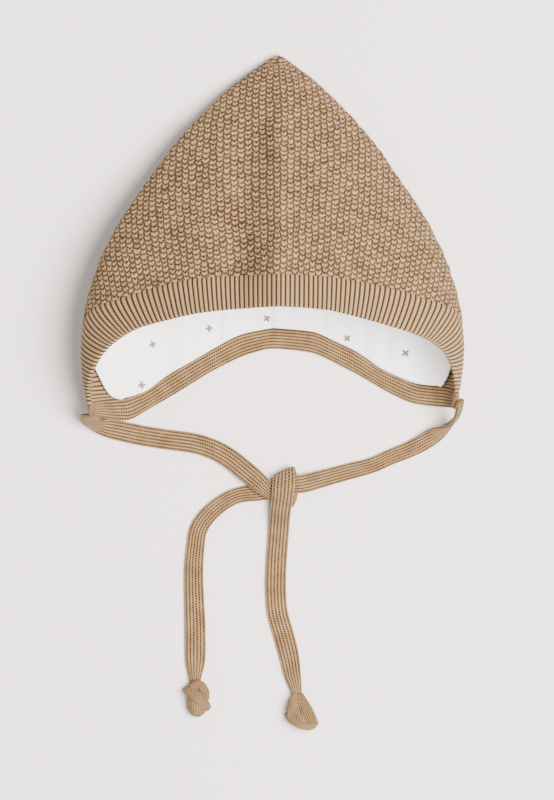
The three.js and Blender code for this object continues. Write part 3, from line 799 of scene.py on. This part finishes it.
# Creases pressed into the lining's back: place across, width, height.
CREASES = [(-21.9, 1.0, 1.9), (-5, 1.4, 1.2), (2.4, 1.6, 1.9), (5.8, 1.3, 1.6),
           (10.4, 1.2, 1.5), (27.5, 1.3, 1.6), (49, 3, 1.8), (60, 3, 1.4), (71, 2.5, 1.3),
           (-44, 3, 1.2), (-70, 2.5, 1.5)]


# Space between printed crosses in a row and between rows, and the least
# distance of any other cross from those in the face opening.
CROSS_APART = 27.0
CROSS_ROW = 13.5
CROSS_CLEAR = 17.0


def cross_places(places, cloth):
    """Centre and turn of every printed cross, on the flat cloth."""
    crosses = []
    for x, y, turn in SHOWN_CROSSES:
        gap = np.array([x, y]) - places[:, :2]
        nearest = np.argmin((gap ** 2).sum(axis=-1))
        crosses.append((*(cloth[nearest] + gap[nearest]), turn))
    fixed = list(crosses)
    for row in range(-3, 16):
        for step in range(-9, 10):
            x = CROSS_APART * step + (CROSS_ROW if row % 2 else 0) - 8.0
            y = -58.0 + CROSS_ROW * row
            if all(math.hypot(x - c[0], y - c[1]) > CROSS_CLEAR for c in fixed):
                crosses.append((x, y, (row * 47 + step * 31) % 90))
    return np.array(crosses, float)


def lining_folds(around, share):
    """Soft folds that run from the gathered edges into the crown."""
    near_edge = smooth(0.35, 1.0, share)
    back = np.cos(np.radians(around))
    folds = 0.7 * np.sin(np.radians(around * 9 + 20)) + 0.5 * np.sin(np.radians(around * 17 + 70))
    folds = folds + 0.4 * np.sin(np.radians(around * 5) + share * 5)
    return 0.8 + 0.75 * folds * near_edge * (0.6 - 0.4 * back)


# How far the lining's two faces lie in from the bonnet's form, before folds.
LINING_OUTER = 2.85
LINING_INNER = 3.55


def make_lining(material):
    """Printed cloth that follows the crown inside it, as a closed thin shell."""
    around = np.linspace(-180, 180, 241)
    rows = np.linspace(0, 1, 80) ** 0.85
    share = np.concatenate([rows, rows[::-1]])
    angle, part = np.meshgrid(around, share, indexing="ij")
    inward = np.where(np.arange(len(share)) < len(rows), LINING_OUTER, LINING_INNER)[None]
    front = (angle > -CORNER[-1]) & (angle < CORNER[1])
    corner = np.where(angle < 0, CORNER[-1], CORNER[1])
    cover = 7.5 * smooth(58, 90, np.abs(angle)) * smooth(corner, corner - 9, np.abs(angle))
    edge = crown_reach(angle) + np.where(front, 0.6 + cover, -0.2)
    inset = inward + lining_folds(angle, part)
    start = 1.3 * inset
    places = bonnet_point(angle, start + (edge - start) * part, inset)
    for across, width, height in CREASES:
        rise = height * np.exp(-((places[..., 0] - across) / width) ** 2)
        places[..., 2] += rise * smooth(110, 140, np.abs(angle)) * smooth(0.2, 0.5, part)
    places = dressed(places, 3.5)
    face = bonnet_point(angle, start + (edge - start) * part, 3.5)
    steps = np.diff(face, axis=0, prepend=face[:1])
    arc = np.cumsum(np.hypot(steps[..., 0], steps[..., 2]), axis=0)
    arc = np.where(angle < 0, -arc, arc[-1:] - arc)
    cloth = np.stack([arc, face[..., 1]], axis=-1)
    shell = mesh_from_grid("lining_cotton", places, cloth, material, close_across=True)
    lining = joined("lining_cotton", [shell])
    seen = (np.abs(angle) > 95) & (np.arange(len(share)) >= len(rows))[None]
    place_crosses(lining.data, cross_places(places[seen], cloth[seen]))
    return lining


def place_crosses(mesh, crosses):
    """A second map that gives each corner its place from the nearest cross."""
    count = len(mesh.polygons)
    flat = np.empty(len(mesh.loops) * 2)
    mesh.uv_layers["cloth"].data.foreach_get("uv", flat)
    flat = flat.reshape(-1, 2)
    first = np.empty(count, int)
    total = np.empty(count, int)
    mesh.polygons.foreach_get("loop_start", first)
    mesh.polygons.foreach_get("loop_total", total)
    owner = np.empty(len(flat), int)
    for corner in range(4):
        has = total > corner
        owner[first[has] + corner] = np.nonzero(has)[0]
    centre = np.zeros((count, 2))
    np.add.at(centre, owner, flat)
    centre /= total[:, None]
    gap = ((centre[:, None, :] - crosses[None, :, :2]) ** 2).sum(-1)
    nearest = crosses[np.argmin(gap, axis=1)][owner]
    offset = flat - nearest[:, :2]
    turn = np.radians(nearest[:, 2])
    local = np.stack([offset[:, 0] * np.cos(turn) + offset[:, 1] * np.sin(turn),
                      -offset[:, 0] * np.sin(turn) + offset[:, 1] * np.cos(turn)], axis=-1)
    mesh.uv_layers.new(name="print").data.foreach_set("uv", local.ravel())


# ---------------------------------------------------------------- neck band


def sewn_reach(around):
    """Distance back of the neck band's sewn side."""
    right = np.interp(around, [84, CORNER[1]], [161, 157.8])
    left = np.interp(around, [360 - CORNER[-1], 278], [163.5, 167])
    along = crown_reach(around)
    return np.where(around < CORNER[1], right, np.where(around > 360 - CORNER[-1], left, along))


def tube_relief(across, depth):
    """How far a tube's surface lies below the tops of its stitches."""
    f = across / STITCH_WIDE - np.floor(across / STITCH_WIDE)
    return depth * (1 - np.abs(2 * f - 1) ** 2.5) - depth


# Depth of the neck band's middle under the bonnet's form, and half its
# thickness.
BAND_MIDDLE = 1.6
BAND_HALF_THICK = 1.55


def make_neck_band(material):
    """Flat knitted tube from one corner round the back to the other."""
    around = np.linspace(84, 278, 521)
    near = sewn_reach(around)
    free_around = curve_through(BAND_AROUND, BAND_FREE_AROUND, around)
    free = curve_through(BAND_AROUND, BAND_FREE_REACH, around)
    count = 60
    turn = np.linspace(0, 2 * math.pi, count + 1)
    share = 0.5 + 0.53 * np.sign(np.cos(turn)) * np.abs(np.cos(turn)) ** 0.75
    depth = BAND_MIDDLE - BAND_HALF_THICK * np.sign(np.sin(turn)) * np.abs(np.sin(turn)) ** 0.6
    angle = around[:, None] + (free_around - around)[:, None] * share[None]
    reach = near[:, None] + (free - near)[:, None] * share[None]
    places = bonnet_point(angle, reach, depth[None])
    section = np.diff(places[len(places) // 2], axis=0)
    rim = np.concatenate([[0], np.cumsum(np.linalg.norm(section, axis=1))])
    wales = round(rim[-1] / STITCH_WIDE)
    rim *= wales * STITCH_WIDE / rim[-1]
    steps = np.linalg.norm(np.diff(places.mean(axis=1), axis=0), axis=1)
    length = np.concatenate([[0], np.cumsum(steps)])
    centre = bonnet_point(angle, reach, BAND_MIDDLE)
    outward = places - (places.mean(axis=1, keepdims=True) * 0.35 + centre * 0.65)
    outward /= np.maximum(np.linalg.norm(outward, axis=-1, keepdims=True), 1e-6)
    places = places + outward * tube_relief(rim, 0.05)[None, :, None]
    places[..., 2] = np.maximum(places[..., 2], TABLE_GAP)
    places[:, -1] = places[:, 0]
    uv = np.stack(np.broadcast_arrays(rim[None], length[:, None]), axis=-1)
    tube = mesh_from_grid("neck_band_knit", places, uv, material)
    return joined("neck_band_knit", [tube], caps=True)


# ---------------------------------------------------------------- tie strings

# Centre line, half width and lean of each string: x, y, z, half, lean. Each
# starts with its end that is sewn inside the corner.
LEFT_TIE = [
    (-87.2, -86.4, 18.5, 3.6, 20),
    (-86.3, -88.9, 13, 4.2, 16), (-83.6, -90.4, 7.2, 4.5, 12), (-78, -92.2, 3.8, 4.7, 8),
    (-69.6, -94.2, 2, 4.9, 4), (-60.6, -96.1, 1.4, 4.9, 0), (-49.7, -97.8, 1.4, 4.9, 0),
    (-37, -99.6, 1.4, 4.9, 0), (-28, -102.4, 1.6, 4.9, 0),
    (-20, -106.9, 2.4, 4.9, 0), (-11.8, -113.4, 4.6, 4.9, 0), (-5.6, -118.5, 6.3, 4.5, 8),
    (0, -123.6, 6.6, 3.2, 20), (4.4, -127.6, 4.9, 2.6, 35), (8.2, -128.4, 2.9, 2.4, 20),
    (9.4, -125, 1.5, 2.6, 0), (8.5, -118.5, 1.4, 3.8, 0), (7.4, -114.8, 2.2, 4.6, 0),
    (6.4, -112.9, 5.5, 5, 0), (6.1, -114.6, 8.9, 5.4, 0), (5.6, -118, 9.9, 5.4, 0),
    (4.9, -125, 9.3, 5.2, 0), (3.9, -133, 5.4, 5, 0), (3.2, -142.4, 1.8, 5, 0),
    (2.1, -157.5, 1.4, 5, 0), (1.9, -170.8, 1.4, 5, 0), (2.8, -180.7, 1.4, 5, 0),
    (5.7, -191, 1.4, 5, 0), (8.1, -200.5, 1.4, 4.8, 0), (10, -210.5, 1.6, 4, 0),
    (12, -219, 2.2, 2.4, 0)]
RIGHT_TIE = [
    (88.9, -80, 30, 2.6, -68), (88.4, -84, 24.5, 3.3, -68),
    (87.3, -87.4, 19, 3.9, -68), (85.4, -89.3, 12.5, 4.1, -58), (82, -92.3, 7, 4.2, -42),
    (76.5, -96.4, 3.6, 4.2, -22), (67.5, -101.6, 1.7, 4, -5), (56.6, -106.1, 1.4, 3.8, 0),
    (47.4, -110.1, 1.4, 3.8, 0), (36.5, -113, 1.4, 4, 0), (23.7, -116.5, 2.6, 4.2, 0),
    (15.6, -118.6, 4.2, 4.4, 0),
    (8, -119.6, 5.5, 4.2, 0), (1, -121.6, 3.4, 4, 0), (-6.6, -123.2, 1.4, 3.9, 0),
    (-12.3, -123.6, 1.4, 3.9, 0), (-17.8, -124.9, 1.4, 3.9, 0), (-25, -129, 1.4, 4, 0),
    (-30.8, -134.3, 1.4, 4.2, 0), (-34.8, -140.4, 1.4, 4.3, 0), (-36.5, -150.1, 1.4, 4.4, 0),
    (-37.2, -160.8, 1.4, 4.6, 0), (-36.9, -175.4, 1.4, 4.8, 0), (-36.5, -188.3, 1.4, 5, 0),
    (-36.5, -204, 1.4, 4.7, 0), (-36.6, -212.8, 2.2, 2.6, 0)]
TIE_THICK = 2.4
TIE_USUAL_HALF = 4.6


def route_through(stations, spacing):
    """Even steps on a smooth curve through the stations, with every column
    of the table carried along."""
    rows = np.array(stations, float)
    gaps = np.sqrt(np.linalg.norm(np.diff(rows[:, :3], axis=0), axis=1))
    knots = np.concatenate([[0], np.cumsum(gaps)])
    slopes = np.zeros_like(rows)
    for k in range(1, len(rows) - 1):
        before = (rows[k] - rows[k - 1]) / (knots[k] - knots[k - 1])
        after = (rows[k + 1] - rows[k]) / (knots[k + 1] - knots[k])
        share = (knots[k] - knots[k - 1]) / (knots[k + 1] - knots[k - 1])
        slopes[k] = before * (1 - share) + after * share
    slopes[0] = (rows[1] - rows[0]) / (knots[1] - knots[0])
    slopes[-1] = (rows[-1] - rows[-2]) / (knots[-1] - knots[-2])
    at = np.linspace(0, knots[-1], 6000)
    i = np.clip(np.searchsorted(knots, at, side="right") - 1, 0, len(rows) - 2)
    width = (knots[i + 1] - knots[i])[:, None]
    t = (at[:, None] - knots[i][:, None]) / width
    dense = (rows[i] * (1 + 2 * t) * (1 - t) ** 2 + rows[i + 1] * t * t * (3 - 2 * t)
             + slopes[i] * width * t * (1 - t) ** 2 + slopes[i + 1] * width * t * t * (t - 1))
    steps = np.linalg.norm(np.diff(dense[:, :3], axis=0), axis=1)
    length = np.concatenate([[0], np.cumsum(steps)])
    count = max(int(round(length[-1] / spacing)), 8)
    even = np.linspace(0, length[-1], count + 1)
    route = np.stack([np.interp(even, length, dense[:, k]) for k in range(dense.shape[1])], -1)
    return route, even


def strap_frames(centre, lean):
    """Width and face directions: level on a level run, and carried along
    through a turn over an edge."""
    along = np.gradient(centre, axis=0)
    along /= np.linalg.norm(along, axis=1, keepdims=True)
    width = np.zeros_like(along)
    carried = None
    for k, step in enumerate(along):
        level = np.cross((0, 0, 1), step)
        flatness = np.linalg.norm(level)
        level = level / max(flatness, 1e-6)
        if carried is None:
            carried = level
        if level @ carried < 0:
            level = -level
        carried = carried + level * 0.25 * flatness ** 4
        carried = carried - step * (carried @ step)
        carried = carried / np.linalg.norm(carried)
        width[k] = carried
    face = np.cross(along, width)
    angle = np.radians(lean)[:, None]
    turned = width * np.cos(angle) + face * np.sin(angle)
    return along, turned, np.cross(along, turned)


def strap_surface(stations, spacing=0.6, sides=84, thick=TIE_THICK):
    """Flat knitted tube along a route, with a soft groove part way to each edge."""
    route, even = route_through(stations, spacing)
    centre = route[:, :3]
    along, width, face = strap_frames(centre, route[:, 4])
    turn = np.linspace(0, 2 * math.pi, sides + 1)
    c, s = np.cos(turn), np.sin(turn)
    across = np.sign(c) * np.abs(c) ** 0.8
    groove = 0.10 * np.exp(-((np.abs(across) - 0.62) / 0.1) ** 2)
    up = np.sign(s) * np.abs(s) ** 0.55 * (1 - groove)
    half = route[:, 3]
    tall = np.full_like(half, thick / 2) * (1 + 0.35 * smooth(4.2, 2.4, half))
    rim_x = across * TIE_USUAL_HALF
    rim_y = up * thick / 2
    rim = np.concatenate([[0], np.cumsum(np.hypot(np.diff(rim_x), np.diff(rim_y)))])
    wales = round(rim[-1] / STITCH_WIDE)
    rim *= wales * STITCH_WIDE / rim[-1]
    places = (centre[:, None] + width[:, None] * (across[None] * half[:, None])[..., None]
              + face[:, None] * (up[None] * tall[:, None])[..., None])
    outward = (width[:, None] * (across * 0.4)[None, :, None]
               + face[:, None] * up[None, :, None])
    outward /= np.maximum(np.linalg.norm(outward, axis=-1, keepdims=True), 1e-6)
    places = places + outward * tube_relief(rim, 0.14)[None, :, None]
    places[:, -1] = places[:, 0]
    uv = np.stack(np.broadcast_arrays(rim[None], even[:, None]), axis=-1)
    return places, uv, centre


def make_tie(name, stations, material):
    places, uv, centre = strap_surface(stations)
    places[..., 2] = np.maximum(places[..., 2], TABLE_GAP)
    tube = mesh_from_grid(name, places, uv, material)
    return joined(name, [tube], caps=True), centre


def make_end_knot(name, stations, wraps, material):
    """A string's end tied on itself: the core, and the turns wound round it."""
    rows = np.array(stations, float)
    route, even = route_through([tuple(r) + (0,) for r in rows], 0.4)
    along, width, face = strap_frames(route[:, :3], np.zeros(len(route)))
    turn = np.linspace(0, 2 * math.pi, 49)
    places = (route[:, None, :3]
              + width[:, None] * (np.cos(turn)[None] * route[:, 3:4])[..., None]
              + face[:, None] * (np.sin(turn)[None] * route[:, 4:5])[..., None])
    places[..., 2] = np.maximum(places[..., 2], TABLE_GAP)
    places[:, -1] = places[:, 0]
    uv = np.stack(np.broadcast_arrays(turn[None] * 6.0, even[:, None]), axis=-1)
    parts = [mesh_from_grid(name, places, uv, material)]
    for wrap in wraps:
        turns, uv, _ = strap_surface(wrap, spacing=0.4, sides=48, thick=2.6)
        turns[..., 2] = np.maximum(turns[..., 2], TABLE_GAP)
        parts.append(mesh_from_grid(name, turns, uv, material))
    return joined(name, parts, caps=True)


# Cores of the end knots: x, y, z, half width, half height. The turns wound
# round them are routes of x, y, z, half width, lean.
LEFT_KNOT = [
    (12.3, -219.3, 2.9, 2.9, 1.9), (12.8, -222, 4.0, 3.6, 3.4), (13.6, -225.5, 4.2, 4.4, 4),
    (14.6, -229.5, 4.0, 5, 3.8), (15.8, -232.5, 3.6, 4.6, 3.2), (16.4, -234.2, 3.1, 3, 2.2)]
LEFT_WRAPS = [
    [(11.0, -219.6, 4.0, 1.6, 0), (10.3, -222.5, 6.6, 2.1, -14), (9.6, -226, 7.4, 2.4, -20),
     (9.4, -229.5, 5.5, 2.4, -25)],
    [(13.6, -219.8, 4.2, 1.6, 0), (15.0, -223, 7.0, 2.4, 16), (17.0, -227.5, 7.9, 3.0, 18),
     (19.2, -232, 5.5, 2.6, 24)],
    [(7.6, -228.8, 2.4, 1.4, 0), (9.4, -231, 6.6, 1.8, 0), (13.4, -233.2, 8.2, 2.0, 0),
     (18, -234.2, 6.6, 1.8, 0), (20.8, -232.6, 2.8, 1.4, 0)]]
RIGHT_KNOT = [
    (-36.6, -213.1, 2.9, 2.9, 1.9), (-36.3, -216, 4.0, 3.7, 3.3), (-35.8, -219.5, 4.6, 4.6, 4.4),
    (-35.5, -223.5, 4.6, 4.9, 4.5), (-35.9, -227, 4.2, 4.1, 3.9), (-36.4, -229, 3.6, 2.4, 2.2)]
RIGHT_WRAPS = [
    [(-38.6, -218.6, 5.0, 1.6, 0), (-37.4, -215.4, 7.8, 1.9, 0), (-34.2, -214.2, 8.4, 2.0, 0),
     (-31.9, -217, 7.6, 1.9, 0), (-31.4, -221, 4.6, 1.6, 0)],
    [(-40.6, -216.6, 3.0, 1.8, 0), (-39, -218, 7.4, 2.2, 0), (-35.6, -220.2, 9.0, 2.5, 0),
     (-32.2, -223.2, 7.6, 2.3, 0), (-30.8, -225.4, 3.4, 1.8, 0)]]


# ---------------------------------------------------------------- stage


def pale_floor():
    sheet = bmesh.new()
    bmesh.ops.create_grid(sheet, x_segments=1, y_segments=1, size=3.0)
    mesh = bpy.data.meshes.new("floor")
    sheet.to_mesh(mesh)
    sheet.free()
    floor = bpy.data.objects.new("floor", mesh)
    bpy.context.collection.objects.link(floor)
    material = blank_material("matt pale paper")
    tree = material.node_tree
    shader = add_node(tree, "ShaderNodeBsdfPrincipled",
                      {"Base Color": linear("#e9e3e2"), "Roughness": 1.0,
                       "Specular IOR Level": 0.0})
    add_node(tree, "ShaderNodeOutputMaterial", {"Surface": shader.outputs[0]})
    mesh.materials.append(material)


def soft_light(name, place, aim, size, power, colour):
    data = bpy.data.lights.new(name, "AREA")
    data.shape = "DISK"
    data.size = size
    data.energy = power
    data.color = linear(colour)[:3]
    lamp = bpy.data.objects.new(name, data)
    lamp.location = place
    towards = Vector(aim) - Vector(place)
    lamp.rotation_euler = towards.to_track_quat("-Z", "Y").to_euler()
    bpy.context.collection.objects.link(lamp)


def studio():
    world = bpy.data.worlds.new("studio")
    world.use_nodes = True
    world.node_tree.nodes["Background"].inputs[0].default_value = (1.0, 0.99, 0.98, 1.0)
    world.node_tree.nodes["Background"].inputs[1].default_value = 0.8
    bpy.context.scene.world = world
    soft_light("key", (0.50, -0.18, 1.35), (0, -0.04, 0), 0.85, 88.0, "#fff9f4")


# ---------------------------------------------------------------- build

tube = tube_knit()
left_tie, left_line = make_tie("tie_left_knit", LEFT_TIE, tube)
right_tie, right_line = make_tie("tie_right_knit", RIGHT_TIE, tube)
left_knot = make_end_knot("end_knot_left_knit", LEFT_KNOT, LEFT_WRAPS, tube)
right_knot = make_end_knot("end_knot_right_knit", RIGHT_KNOT, RIGHT_WRAPS, tube)
neck_band = make_neck_band(tube)
crown = make_crown(moss_knit())
brim = make_brim(rib_knit())
lining = make_lining(printed_cotton())
pale_floor()
studio()

for piece, node, finish in [
        (crown, "crown", "moss_knit"), (brim, "brim", "rib_knit"),
        (lining, "lining", "printed_cotton"), (neck_band, "neck_band", "tube_knit"),
        (left_tie, "tie_left", "tube_knit"), (right_tie, "tie_right", "tube_knit"),
        (left_knot, "end_knot_left", "tube_knit"), (right_knot, "end_knot_right", "tube_knit")]:
    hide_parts(node)
    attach(piece, "root")
